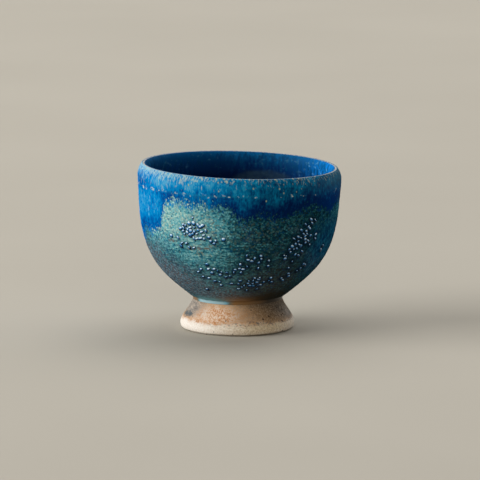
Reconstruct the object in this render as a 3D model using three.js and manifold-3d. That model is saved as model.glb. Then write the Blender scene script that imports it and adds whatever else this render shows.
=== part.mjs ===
// A footed cup: a wheel-thrown stoneware bowl luted to a flared foot ring, under fired coats of glaze.
// Millimetres, +Z up, with the front of the cup towards -Y. The origin is on the standing face, below
// the middle of the mouth. Angles round the cup are degrees from the front, growing towards +X.
import * as THREE from "three";
import { mergeVertices } from "three/addons/utils/BufferGeometryUtils.js";
import Module from "manifold-3d";

const wasm = await Module();
wasm.setup();

// Overall sizes
const height = 58; // standing face to the crest of the lip, before the rim's tilt
const mouthDiameter = 72; // widest, over the glaze, just under the lip
const neckDiameter = 31; // bare clay at the waist between bowl and foot
const neckHeight = 11.6; // standing face to the underside of the bowl

// Bowl
const lipDepth = 4; // crest of the lip down to the widest point
const lipWall = 2.4; // clay at the widest point
const floorThickness = 3.4; // clay at the middle of the floor
const wallLeaveAngle = 38; // degrees above level, where the wall leaves the neck
const lowerBellyPull = 17; // length of the curve's handle at the neck
const upperBellyPull = 27.4; // length of the curve's handle under the mouth
const innerFloorPull = 24; // length of the inner curve's handle on the floor
const innerWallPull = 26; // length of the inner curve's handle under the mouth

// Foot ring
const footDiameter = 40.2; // widest, low on the foot
const footBulgeHeight = 2; // standing face to the widest point
const standDiameter = 36.6; // outer edge of the flat standing face
const standWidth = 4.6; // the flat standing face, across the ring
const footLeaveAngle = 74; // degrees below level, where the foot leaves the neck
const upperFlarePull = 3.4; // length of the flare's handle at the neck
const lowerFlarePull = 2.2; // length of the flare's handle at the widest point
const hollowTopDiameter = 19; // the hollow under the cup, where it meets the bowl
const hollowEdgeRadius = 1; // rounding of the inner standing edge

// Slip between bowl and foot
const slipThickness = 0.5;
const slipFillet = 1.2; // how far the squeezed-out slip reaches into the hollow

// Glaze
const insideCoat = 0.4;
const outsideCoat = 0.4;
const crestCoat = 0.15; // the two coats above, where they thin out at the lip
const lipBreak = 0.6; // bare line along the crest, where the glaze breaks
const rimCoat = 0.5; // the second coat, at its thickest
const rimCoatStart = 1.6; // crest of the lip down to the top of the second coat
const rollReach = 1.3; // the gathered roll at the neck, up the wall and, on average, down the foot
const rollSwell = 0.35; // how much the roll grows and shrinks round the neck, as a share
const rollFullAngle = -30; // where the roll is fullest
const washCoat = 0.2;
const washStop = 5.2; // standing face to the lower edge of the foot's wash
const washWaver = 0.5; // how far that edge wanders up and down
const washWaves = [3, 5]; // the wanderings of that edge round the foot
const fuseGap = 0.08; // hairline between fired layers, which keeps each one a body of its own

// Beads of glaze, raised on the outside coat
const beadRadius = 0.7;
const beadVariation = 0.25; // spread of the radius, as a share
const beadRise = 0.75; // height over the coat, as a share of the bead's radius
const beadShoulder = 0.75; // radius of the bead half-way up, as a share
const beadSink = 0.2; // depth that a bead is fused into the coat
const beadSides = 5;
const beadSeed = 11;

// Handwork: the mouth stands to the right of the foot, and its rim dips to the right
const lean = 0.85;
const rimTilt = 1.8; // degrees
const tiltFade = 3; // power of the height by which the tilt fades out towards the foot

// Fineness of the facets
const roundSteps = 48;
const wallSteps = 9;
const innerSteps = 7;
const lipSteps = 3;
const footSteps = 6;
const edgeSteps = 2;
const washSteps = 3;

// How far down the wall the second coat runs: angle, and the share of the way from lip to neck
const rimRuns = [
  [-100, 0.44],
  [-75, 0.43],
  [-57, 0.42],
  [-40, 0.19],
  [-24, 0.19],
  [-8, 0.23],
  [8, 0.31],
  [26, 0.3],
  [44, 0.25],
  [58, 0.27],
  [80, 0.46],
  [100, 0.54],
  [125, 0.34],
  [150, 0.26],
  [172, 0.38],
  [196, 0.24],
  [222, 0.31],
  [243, 0.28],
];

// Sections of the second coat from its lower edge upwards: share of its drop, and of its thickness
const rimRows = [
  [0, 0.3],
  [0.06, 0.8],
  [0.2, 1],
  [0.45, 0.9],
  [0.7, 0.9],
  [0.9, 1],
  [1, 0.3],
];

// Trails of beads: the two ends, each an angle and a share of the way from neck to lip, the number of
// beads, and how far they stray from the line, in millimetres
const beadTrails = [
  { from: [-33, 0.62], to: [-19, 0.6], count: 12, stray: 2 },
  { from: [-41, 0.54], to: [-29, 0.49], count: 4, stray: 0.7 },
  { from: [-18, 0.54], to: [-8, 0.57], count: 3, stray: 0.5 },
  { from: [46, 0.66], to: [38, 0.5], count: 9, stray: 1.9 },
  { from: [36, 0.51], to: [29, 0.38], count: 6, stray: 1.3 },
  { from: [42, 0.46], to: [36, 0.33], count: 3, stray: 1 },
  { from: [62, 0.4], to: [66, 0.36], count: 2, stray: 0.5 },
  { from: [2, 0.37], to: [20, 0.36], count: 6, stray: 0.9 },
  { from: [1, 0.33], to: [4, 0.26], count: 3, stray: 1 },
  { from: [-27, 0.31], to: [-5, 0.26], count: 8, stray: 1.1 },
  { from: [-26, 0.19], to: [-9, 0.18], count: 3, stray: 0.7 },
  { from: [3, 0.19], to: [14, 0.18], count: 6, stray: 1.3 },
  { from: [22, 0.17], to: [50, 0.3], count: 6, stray: 0.7 },
  { from: [118, 0.5], to: [134, 0.4], count: 5, stray: 1.5 },
  { from: [176, 0.47], to: [194, 0.38], count: 6, stray: 1.8 },
  { from: [238, 0.36], to: [262, 0.3], count: 5, stray: 1.2 },
];

const radians = THREE.MathUtils.degToRad;
const lerp = THREE.MathUtils.lerp;
const xy = (x, y) => new THREE.Vector2(x, y);

// Places worked out from the sizes
const neckRadius = neckDiameter / 2;
const clayMouthRadius = mouthDiameter / 2 - outsideCoat - rimCoat - 2 * fuseGap;
const clayCrest = height - crestCoat - fuseGap;
const mouthHeight = height - lipDepth;
const innerMouthRadius = clayMouthRadius - lipWall;
const crestRadius = clayMouthRadius - lipWall / 2;
const floorHeight = neckHeight + floorThickness;
const slipTop = neckHeight - fuseGap;
const slipBottom = slipTop - slipThickness;
const footTop = slipBottom - fuseGap;
const hollowTopRadius = hollowTopDiameter / 2;
const standInnerRadius = standDiameter / 2 - standWidth;

// The clay's outside, from the neck up to the crest of the lip
function outsideClay() {
  const neck = xy(neckRadius, neckHeight);
  const mouth = xy(clayMouthRadius, mouthHeight);
  const leave = xy(lowerBellyPull, 0).rotateAround(xy(0, 0), radians(wallLeaveAngle));
  const underMouth = mouth.clone().sub(xy(0, upperBellyPull));
  const wall = new THREE.CubicBezierCurve(neck, neck.clone().add(leave), underMouth, mouth);
  return [...wall.getPoints(wallSteps), ...lip(0, Math.PI / 2 - lipBreakAngle()).slice(1)];
}

// The clay's inside, from the crest of the lip down to the middle of the floor
function insideClay() {
  const mouth = xy(innerMouthRadius, mouthHeight);
  const underMouth = mouth.clone().sub(xy(0, innerWallPull));
  const wall = new THREE.CubicBezierCurve(
    mouth,
    underMouth,
    xy(innerFloorPull, floorHeight),
    xy(0, floorHeight),
  );
  return [...lip(Math.PI / 2 + lipBreakAngle(), Math.PI), ...wall.getPoints(innerSteps).slice(1)];
}

// Half the bare line along the crest, as an angle on the lip's rounding
function lipBreakAngle() {
  return Math.asin(lipBreak / lipWall);
}

// A stretch of the lip's half-ellipse, whose angles start at the outside and end at the inside
function lip(start, end) {
  const rise = clayCrest - mouthHeight;
  const curve = new THREE.EllipseCurve(crestRadius, mouthHeight, lipWall / 2, rise, start, end);
  return curve.getPoints(lipSteps);
}

// The foot's outside, from the joint at the neck down to the standing face
function outsideFoot() {
  const top = xy(neckRadius, footTop);
  const bulge = xy(footDiameter / 2, footBulgeHeight);
  const leave = xy(upperFlarePull, 0).rotateAround(xy(0, 0), -radians(footLeaveAngle));
  const overBulge = bulge.clone().add(xy(0, lowerFlarePull));
  const flare = new THREE.CubicBezierCurve(top, top.clone().add(leave), overBulge, bulge);
  const edgeWidth = (footDiameter - standDiameter) / 2;
  const edge = new THREE.EllipseCurve(
    standDiameter / 2,
    footBulgeHeight,
    edgeWidth,
    footBulgeHeight,
    0,
    -Math.PI / 2,
    true,
  );
  return [...flare.getPoints(footSteps), ...edge.getPoints(edgeSteps).slice(1)];
}

// The foot's inside, from the standing face up the hollow to the joint
function insideFoot() {
  const edge = new THREE.EllipseCurve(
    standInnerRadius,
    hollowEdgeRadius,
    hollowEdgeRadius,
    hollowEdgeRadius,
    -Math.PI / 2,
    -Math.PI,
    true,
  );
  return [...edge.getPoints(edgeSteps), xy(hollowTopRadius, footTop)];
}

// A line moved sideways along its normals, to the right of the way it runs. A point on the axis stays on it.
function offsetLine(line, distanceAt) {
  return line.map((point, i) => {
    const before = line[Math.max(i - 1, 0)];
    const after = line[Math.min(i + 1, line.length - 1)];
    const along = after.clone().sub(before).normalize();
    const sideways = point.x === 0 ? xy(0, 1) : xy(along.y, -along.x);
    return point.clone().addScaledVector(sideways, distanceAt(i));
  });
}

// The same line with its first stretch shortened by a distance
function trimStart(line, distance) {
  const share = distance / line[0].distanceTo(line[1]);
  return [line[0].clone().lerp(line[1], share), ...line.slice(1)];
}

// The point at a height on a line that only rises
function pointAtHeight(line, z) {
  const above = Math.max(1, line.findIndex((point) => point.y >= z));
  const low = line[above - 1];
  const high = line[above];
  return low.clone().lerp(high, (z - low.y) / (high.y - low.y));
}

// A profile of radius and height, revolved round the Z axis
function revolve(profile) {
  return new THREE.LatheGeometry(profile, roundSteps).rotateX(Math.PI / 2);
}

// A closed loop of radius and height, revolved into a ring
function revolveRing(loop) {
  return revolve([...loop, loop[0]]);
}

// A ring lofted through one closed loop at each step round the Z axis. Every loop has as many points.
function loftRing(loopAt) {
  const loops = Array.from({ length: roundSteps }, (_, i) => loopAt((i * 360) / roundSteps));
  const across = loops[0].length;
  const positions = [];
  const triangles = [];
  loops.forEach((loop, i) => {
    const turn = (i * 2 * Math.PI) / roundSteps;
    const next = (i + 1) % roundSteps;
    loop.forEach((point, j) => {
      positions.push(point.x * Math.sin(turn), -point.x * Math.cos(turn), point.y);
      const a = i * across + j;
      const b = i * across + ((j + 1) % across);
      const c = next * across + j;
      const d = next * across + ((j + 1) % across);
      triangles.push(a, c, b, b, c, d);
    });
  });
  const geometry = new THREE.BufferGeometry();
  geometry.setAttribute("position", new THREE.Float32BufferAttribute(positions, 3));
  return geometry.setIndex(triangles);
}

// A closed geometry as a solid that can be joined
function toSolid(geometry) {
  const bare = geometry.clone();
  bare.deleteAttribute("normal");
  bare.deleteAttribute("uv");
  const merged = mergeVertices(bare);
  const vertProperties = merged.getAttribute("position").array;
  const triVerts = new Uint32Array(merged.index.array);
  return new wasm.Manifold(new wasm.Mesh({ numProp: 3, vertProperties, triVerts }));
}

// A joined solid as a geometry again
function toGeometry(solid) {
  const mesh = solid.getMesh();
  const geometry = new THREE.BufferGeometry();
  geometry.setAttribute("position", new THREE.BufferAttribute(mesh.vertProperties, 3));
  return geometry.setIndex(new THREE.BufferAttribute(mesh.triVerts, 1));
}

// The outer face of the outside coat, from its lower edge to the lip
function outsideSkin() {
  const clay = trimStart(outsideClay(), rollReach + fuseGap);
  return offsetLine(clay, (i) => fuseGap + outsideThickness(i, clay.length));
}

// The outside coat thins out over the rounding of the lip and at its lower edge
function outsideThickness(i, count) {
  if (i === 0) return crestCoat;
  const fromCrest = count - 1 - i;
  return lerp(crestCoat, outsideCoat, Math.min(1, fromCrest / lipSteps));
}

// How far down the wall the second coat runs at an angle, eased from each stated point to the next
function runAt(angle) {
  const turned = THREE.MathUtils.euclideanModulo(angle - rimRuns[0][0], 360) + rimRuns[0][0];
  const after = rimRuns.findIndex(([stated]) => stated > turned);
  const [startAngle, startRun] = rimRuns.at(after < 0 ? -1 : after - 1);
  const [endAngle, endRun] = after < 0 ? [rimRuns[0][0] + 360, rimRuns[0][1]] : rimRuns[after];
  return lerp(startRun, endRun, THREE.MathUtils.smoothstep(turned, startAngle, endAngle));
}

function makeBowl() {
  return revolve([xy(0, neckHeight), ...outsideClay(), ...insideClay()]);
}

function makeFootRing() {
  return revolveRing([...insideFoot(), ...outsideFoot()].reverse());
}

function makeLutingSlip() {
  const outer = neckRadius - fuseGap;
  return revolveRing([
    xy(outer, slipBottom),
    xy(outer, slipTop),
    xy(hollowTopRadius - slipFillet, slipTop),
    xy(hollowTopRadius, slipBottom),
  ]);
}

function makeInsideGlaze() {
  const clay = insideClay();
  const coat = (i) => lerp(crestCoat, insideCoat, Math.min(1, i / lipSteps));
  const under = offsetLine(clay, () => fuseGap);
  const over = offsetLine(clay, (i) => fuseGap + coat(i));
  return revolve([...under.reverse(), ...over]);
}

// A dome standing on its own origin, with a root that reaches down into the coat
function makeBead(radius) {
  const rise = radius * beadRise;
  const profile = [
    xy(0, -beadSink),
    xy(radius, -beadSink),
    xy(radius * beadShoulder, rise / 2),
    xy(0, rise),
  ];
  return new THREE.LatheGeometry(profile, beadSides).rotateX(Math.PI / 2);
}

// Carries a bead to an angle and a height on the facets of the outside coat
function placeOnSkin(geometry, skin, angle, z) {
  const step = 360 / roundSteps;
  const fromMiddle = THREE.MathUtils.euclideanModulo(angle, step) - step / 2;
  const flat = Math.cos(radians(step / 2)) / Math.cos(radians(fromMiddle));
  const point = pointAtHeight(skin, z);
  const along = pointAtHeight(skin, z + beadRadius).sub(point).normalize();
  const turn = radians(angle);
  const normal = new THREE.Vector3(along.y * Math.sin(turn), -along.y * Math.cos(turn), -along.x);
  const upright = new THREE.Vector3(0, 0, 1);
  geometry.applyQuaternion(new THREE.Quaternion().setFromUnitVectors(upright, normal));
  const radius = point.x * flat;
  return geometry.translate(radius * Math.sin(turn), -radius * Math.cos(turn), z);
}

function makeOutsideGlaze() {
  const skin = outsideSkin();
  const clay = trimStart(outsideClay(), rollReach + fuseGap);
  const under = offsetLine(clay, () => fuseGap);
  let coat = toSolid(revolveRing([...skin, ...under.reverse()]));
  THREE.MathUtils.seededRandom(beadSeed);
  const stray = () => 2 * THREE.MathUtils.seededRandom() - 1;
  for (const trail of beadTrails) {
    for (let i = 0; i < trail.count; i++) {
      const share = (i + 0.5) / trail.count;
      const up = lerp(trail.from[1], trail.to[1], share);
      const z = lerp(neckHeight, clayCrest, up) + trail.stray * stray();
      const sideways = THREE.MathUtils.radToDeg(trail.stray / pointAtHeight(skin, z).x);
      const angle = lerp(trail.from[0], trail.to[0], share) + sideways * stray();
      const bead = makeBead(beadRadius * (1 + beadVariation * stray()));
      coat = coat.add(toSolid(placeOnSkin(bead, skin, angle, z)));
    }
  }
  return toGeometry(coat);
}

// The second coat is lofted a little too deep, and what lies under its own hairline is cut away
function makeRimGlaze() {
  const skin = outsideSkin();
  const top = clayCrest - rimCoatStart;
  const loft = loftRing((angle) => {
    const bottom = lerp(clayCrest, neckHeight, runAt(angle));
    const back = rimRows.map(([up]) => pointAtHeight(skin, lerp(bottom, top, up)));
    const under = offsetLine(back, () => -outsideCoat);
    const over = offsetLine(back, (i) => fuseGap + rimCoat * rimRows[i][1]);
    return [...over, ...under.reverse()];
  });
  const clay = outsideClay();
  const covered = offsetLine(clay, (i) => 2 * fuseGap + outsideThickness(i, clay.length));
  const core = revolve([xy(0, covered[0].y), ...covered, xy(0, covered.at(-1).y)]);
  return toGeometry(toSolid(loft).subtract(toSolid(core)));
}

// How far down the foot the roll reaches at an angle
function rollReachAt(angle) {
  return rollReach * (1 + rollSwell * Math.cos(radians(angle - rollFullAngle)));
}

// The roll fills the corner between the bowl's wall and the foot, and is fullest on one side
function makeGlazeRoll() {
  const corner = xy(neckRadius, slipTop);
  const [wallStart, wallNext] = outsideClay();
  const [footStart, footNext] = outsideFoot();
  const upWall = wallNext.clone().sub(wallStart).normalize();
  const downFoot = footNext.clone().sub(footStart).normalize();
  const outwards = upWall.clone().add(downFoot).normalize();
  const back = corner.clone().addScaledVector(outwards, 2 * fuseGap);
  return loftRing((angle) => {
    const reach = rollReachAt(angle) - 2 * fuseGap;
    return [
      back,
      back.clone().addScaledVector(downFoot, reach),
      back.clone().addScaledVector(outwards, reach),
      back.clone().addScaledVector(upWall, rollReach - 2 * fuseGap),
    ];
  });
}

// The wash follows the foot from under the roll to a wandering edge above the bare standing ring
function makeFootWash() {
  const foot = outsideFoot();
  const rising = foot.toReversed();
  return loftRing((angle) => {
    const top = trimStart(foot, rollReachAt(angle) + fuseGap)[0].y;
    const waves = washWaves.map((count) => Math.sin(radians(count * angle)) / washWaves.length);
    const bottom = washStop + washWaver * (waves[0] + waves[1]);
    const heights = Array.from({ length: washSteps + 1 }, (_, i) => lerp(bottom, top, i / washSteps));
    const clay = heights.map((z) => pointAtHeight(rising, z));
    const under = offsetLine(clay, () => fuseGap);
    const over = offsetLine(clay, () => fuseGap + washCoat);
    return [...over, ...under.reverse()];
  });
}

// The potter's hand: the whole cup leans a little, and the tilt of its rim fades out down the wall
function handThrown(geometry) {
  const position = geometry.getAttribute("position");
  for (let i = 0; i < position.count; i++) {
    const x = position.getX(i);
    const z = position.getZ(i);
    const rise = z / height;
    position.setX(i, x + lean * (rise - 1));
    position.setZ(i, z - Math.tan(radians(rimTilt)) * x * rise ** tiltFade);
  }
  geometry.computeVertexNormals();
  return geometry;
}

function piece(name, geometry, color, roughness) {
  const material = new THREE.MeshStandardMaterial({ color, roughness, metalness: 0 });
  const mesh = new THREE.Mesh(handThrown(geometry), material);
  mesh.name = name;
  return mesh;
}

const cup = new THREE.Group();
cup.name = "footed_cup";
cup.add(
  piece("bowl", makeBowl(), 0xc9b596, 0.85),
  piece("foot_ring", makeFootRing(), 0xd8c7a8, 0.9),
  piece("luting_slip", makeLutingSlip(), 0xbfa988, 0.9),
  piece("inside_glaze", makeInsideGlaze(), 0x0d2f5e, 0.2),
  piece("outside_glaze", makeOutsideGlaze(), 0x4f7a78, 0.5),
  piece("rim_glaze", makeRimGlaze(), 0x0f5f9c, 0.2),
  piece("glaze_roll", makeGlazeRoll(), 0x5fa3ab, 0.2),
  piece("foot_wash", makeFootWash(), 0xb98a66, 0.8),
);

export default cup;
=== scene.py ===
# %% [markdown]
# # A footed cup under running blue glaze
# This cup is a wheel-thrown stoneware bowl, luted to a flared foot ring and glazed blue.
# The frame brings the fired pieces at their real size, as plain facets. This lesson dresses them:
# every form is thrown again with finer steps, and gets the finish that the kiln gave it.
# All sizes below are in millimetres, and one factor turns them into Blender's metres.

# %% The frame and its box
import bpy
import numpy as np
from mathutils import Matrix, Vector
from mathutils.kdtree import KDTree


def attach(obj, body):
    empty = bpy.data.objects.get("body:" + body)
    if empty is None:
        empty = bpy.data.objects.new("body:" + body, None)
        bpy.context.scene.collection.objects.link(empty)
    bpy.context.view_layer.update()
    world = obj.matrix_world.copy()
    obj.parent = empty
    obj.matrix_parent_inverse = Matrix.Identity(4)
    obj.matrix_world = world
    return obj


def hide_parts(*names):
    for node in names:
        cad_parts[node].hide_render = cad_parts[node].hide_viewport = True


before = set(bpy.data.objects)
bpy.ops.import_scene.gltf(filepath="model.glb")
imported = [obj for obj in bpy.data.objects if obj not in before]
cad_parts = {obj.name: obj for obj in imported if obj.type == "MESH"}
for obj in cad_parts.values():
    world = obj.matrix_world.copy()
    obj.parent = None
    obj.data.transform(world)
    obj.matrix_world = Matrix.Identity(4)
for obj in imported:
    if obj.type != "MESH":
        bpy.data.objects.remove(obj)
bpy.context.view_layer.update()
MM = 0.001
print("pieces in the frame:", sorted(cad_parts))


# %% [markdown]
# ## Helpers for nodes and colours
# Shader trees and geometry trees are filled in the same way, so one small function adds any node: it
# sets the node's properties, fills its inputs with values or links, and hands back its first output.
# Colours are written as sRGB hex values, as a colour picker shows them, and made linear in one place.

# %% Node and colour helpers
def colour(code):
    """Turn a hex colour such as "#1f6fb2" into linear red, green, blue and full alpha."""
    parts = [int(code[i:i + 2], 16) / 255 for i in (1, 3, 5)]
    linear = [p / 12.92 if p <= 0.04045 else ((p + 0.055) / 1.055) ** 2.4 for p in parts]
    return (*linear, 1.0)


def add_node(tree, kind, inputs=(), stops=(), **settings):
    """Add a node. Inputs are named or numbered, and stops are a ramp's places and hex colours."""
    made = tree.nodes.new(kind)
    for name, value in settings.items():
        setattr(made, name, value)
    for key, value in dict(inputs).items():
        ready = [socket for socket in made.inputs if socket.enabled]
        socket = ready[key] if isinstance(key, int) else next(s for s in ready if s.name == key)
        if isinstance(value, bpy.types.NodeSocket):
            tree.links.new(value, socket)
        elif isinstance(value, str) and value.startswith("#"):
            socket.default_value = colour(value)
        else:
            socket.default_value = value
    for index, (place, code) in enumerate(stops):
        elements = made.color_ramp.elements
        element = elements[index] if index < 2 else elements.new(place)
        element.position = place
        element.color = colour(code)
    return next((socket for socket in made.outputs if socket.enabled), None)


def per_mm(across, up=None):
    """Scale for a pattern whose features are so many millimetres across, and up if that differs."""
    return (1 / (across * MM), 1 / (across * MM), 1 / ((up or across) * MM))


print("a pattern of 1 mm has the scale", per_mm(1))

# %% [markdown]
# ## Camera
# The cup is seen from a little above its rim through a long lens, so the mouth is a thin ellipse and
# upright lines stay parallel. The distance, tilt and aim were worked out from that ellipse.

# %% Camera
CAMERA_DISTANCE = 1600
CAMERA_ELEVATION = np.radians(9.3)
CAMERA_LENS = 341  # on Blender's usual 36 mm sensor
AIM = Vector((0.1, 0, 31.0)) * MM

camera_data = bpy.data.cameras.new("camera")
camera_data.lens = CAMERA_LENS
camera = bpy.data.objects.new("camera", camera_data)
backwards = Vector((0, -np.cos(CAMERA_ELEVATION), np.sin(CAMERA_ELEVATION)))
camera.location = AIM + backwards * CAMERA_DISTANCE * MM
camera.rotation_euler = backwards.to_track_quat("Z", "Y").to_euler()
bpy.context.scene.collection.objects.link(camera)
bpy.context.scene.camera = camera
print("camera at", [round(c, 3) for c in camera.location])

# %% [markdown]
# ## Light and floor
# A window stands at the left: it shades the cup towards the right and adds its own highlight to the one
# painted on each bead of glaze. Wide panels behind, at the far right and over the camera keep the shadow
# soft; the room itself is dim, so that dark glass stays dark. The floor is plain and pale, and warms the
# cup's underside.

# %% Light and floor
# Degrees from the front, growing to the right, and upwards; width and height in metres; watts
LIGHTS = {"window": (-80, 24, (2.4, 1.5), 85), "back_panel": (180, 60, (4.0, 4.0), 70),
          "side_panel": (130, 40, (3.0, 3.0), 22), "front_panel": (0, 20, (3.0, 1.6), 14)}
LIGHT_DISTANCE = 3.0
LIGHT_TINT = "#fffbf5"
ROOM_LIGHT = 0.1
ROOM_TINT = "#f4f4f6"
FLOOR_REACH = 4.0


def soft_light(name, azimuth, elevation, size, power):
    """A rectangular light that faces the origin from the given direction, in degrees."""
    across, up = np.radians((azimuth, elevation))
    towards = Vector((np.sin(across) * np.cos(up), -np.cos(across) * np.cos(up), np.sin(up)))
    data = bpy.data.lights.new(name, "AREA")
    data.shape = "RECTANGLE"
    data.size, data.size_y = size
    data.energy = power
    data.color = colour(LIGHT_TINT)[:3]
    light = bpy.data.objects.new(name, data)
    light.location = towards * LIGHT_DISTANCE
    light.rotation_euler = towards.to_track_quat("Z", "Y").to_euler()
    bpy.context.scene.collection.objects.link(light)


for name, settings in LIGHTS.items():
    soft_light(name, *settings)

room = bpy.data.worlds.new("room")
room.use_nodes = True
room.node_tree.nodes["Background"].inputs["Color"].default_value = colour(ROOM_TINT)
room.node_tree.nodes["Background"].inputs["Strength"].default_value = ROOM_LIGHT
bpy.context.scene.world = room
bpy.context.scene.view_settings.view_transform = "Standard"

floor_mesh = bpy.data.meshes.new("floor")
corners = [(-FLOOR_REACH, -FLOOR_REACH, 0), (FLOOR_REACH, -FLOOR_REACH, 0),
           (FLOOR_REACH, FLOOR_REACH, 0), (-FLOOR_REACH, FLOOR_REACH, 0)]
floor_mesh.from_pydata(corners, [], [(0, 1, 2, 3)])
floor = bpy.data.objects.new("floor", floor_mesh)
bpy.context.scene.collection.objects.link(floor)
print(len(LIGHTS), "lights, room and floor in place")


# %% Floor finish
def start_material(name, masks=(), **constants):
    """A material with a Principled shader, Object coordinates and the masks that it reads from its piece.

    Constants are set on the shader's own sockets.
    """
    material = bpy.data.materials.new(name)
    material.use_nodes = True
    tree = material.node_tree
    shader = tree.nodes["Principled BSDF"]
    for socket, value in constants.items():
        shader.inputs[socket.replace("_", " ").title().replace("Ior", "IOR")].default_value = value
    place = add_node(tree, "ShaderNodeTexCoord").node.outputs["Object"]
    painted = {mask: add_node(tree, "ShaderNodeAttribute", attribute_name=mask).node.outputs["Fac"]
               for mask in masks}
    return material, tree, shader, place, painted


def pale_floor():
    """Matt painted board: a plain pale beige with the faintest cloudiness."""
    material, tree, shader, place, _ = start_material("pale_floor", roughness=0.9)
    wide = add_node(tree, "ShaderNodeMapping", {"Vector": place, "Scale": per_mm(160)})
    cloud = add_node(tree, "ShaderNodeTexNoise", {"Vector": wide, "Scale": 1.0, "Detail": 2.0})
    tone = add_node(tree, "ShaderNodeValToRGB", {"Fac": cloud}, stops=[(0.3, "#b5b1a7"), (0.7, "#b9b5ab")])
    tree.links.new(tone, shader.inputs["Base Color"])
    return material


floor_mesh.materials.append(pale_floor())
print("floor finished")

# %% [markdown]
# ## Lines of the cup
# A thrown pot is one line, the meridian, turned about an axis. The lines here are the same curves as
# in the construction: the wall leaves the neck at a low angle and rises almost upright to the mouth,
# and the lip is a tall half-ellipse. Glaze is a second line, a little way off the clay.

# %% Curves
def slope(degrees):
    """One millimetre along a meridian that climbs at this angle, as radius and height."""
    return np.array((np.cos(np.radians(degrees)), np.sin(np.radians(degrees))))


def bezier(start, start_pull, end_pull, end, steps):
    """Points on a cubic curve from start to end."""
    t = np.linspace(0, 1, steps + 1)[:, None]
    return ((1 - t) ** 3 * start + 3 * (1 - t) ** 2 * t * start_pull
            + 3 * (1 - t) * t ** 2 * end_pull + t ** 3 * end)


def arc(centre, radii, start, end, steps):
    """Points on an ellipse, between two angles in degrees."""
    turn = np.radians(np.linspace(start, end, steps + 1))
    return np.column_stack((centre[0] + radii[0] * np.cos(turn), centre[1] + radii[1] * np.sin(turn)))


def offset(line, distance):
    """The line moved to its right-hand side, by one distance or by one for each point."""
    along = np.gradient(line, axis=0)
    along /= np.linalg.norm(along, axis=1)[:, None]
    return line + np.column_stack((along[:, 1], -along[:, 0])) * np.reshape(distance, (-1, 1))


print("a slope of 38 degrees is", slope(38).round(3))

# %% Meridians
CUP_HEIGHT = 58.0
NECK = np.array((15.5, 11.6))  # radius and height
MOUTH = np.array((34.94, 54.0))
LIP_WALL = 2.4
LIP_RISE = 3.74
FLOOR_HEIGHT = 15.0
WALL_SLOPE = slope(38)
# How far each end of a wall's curve is drawn along its own direction
NECK_PULL = 17.0
MOUTH_PULL = 27.4
INNER_PULL = 26.0
FLOOR_PULL = 24.0
LIP_BREAK = 14.5  # degrees on the lip's rounding, on each side of the crest, where glaze draws back
CREST = 90  # degrees on that rounding


def outside_clay(wall_steps, lip_steps, lip_end):
    """The bowl's outside, from the neck up over the lip."""
    wall = bezier(NECK, NECK + NECK_PULL * WALL_SLOPE, MOUTH - (0, MOUTH_PULL), MOUTH, wall_steps)
    lip = arc(MOUTH - (LIP_WALL / 2, 0), (LIP_WALL / 2, LIP_RISE), 0, lip_end, lip_steps)
    return np.vstack((wall, lip[1:]))


def inside_clay(wall_steps, lip_steps, lip_start):
    """The bowl's inside, from the lip down to the middle of its floor."""
    inner = MOUTH - (LIP_WALL, 0)
    lip = arc(MOUTH - (LIP_WALL / 2, 0), (LIP_WALL / 2, LIP_RISE), lip_start, 180, lip_steps)
    middle = np.array((0, FLOOR_HEIGHT))
    wall = bezier(inner, inner - (0, INNER_PULL), middle + (FLOOR_PULL, 0), middle, wall_steps)
    return np.vstack((lip, wall[1:]))


print("outside meridian ends", outside_clay(40, 8, CREST)[-1].round(2), "mm out and up")

# %% [markdown]
# ## Throwing, as a Geometry Nodes tree
# Turning the line round the axis could be done with a Screw modifier or by looping over vertices. A node
# tree does it in one sweep, Curve to Mesh round a circle, and can add what the potter's fingers leave:
# fine rings that run almost level round the wall, and a slow wobble. A named attribute, worked, says where
# on the line the surface shows, so that the hidden back of a coat stays smooth.

# %% The throwing tree
SWEEP_RADIUS = 10.0  # of the circle that carries the meridian; any radius gives the same form
SEAM = 0.001  # points nearer than this are one


def start_tree(name, inputs):
    """A geometry tree with named inputs: the tree, the inputs inside it and their identifiers."""
    tree = bpy.data.node_groups.new(name, "GeometryNodeTree")
    keys = {}
    for label, kind in inputs.items():
        socket = tree.interface.new_socket(label, in_out="INPUT", socket_type="NodeSocket" + kind)
        keys[label] = socket.identifier
    tree.interface.new_socket("Form", in_out="OUTPUT", socket_type="NodeSocketGeometry")
    return tree, tree.nodes.new("NodeGroupInput").outputs, keys


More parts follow.
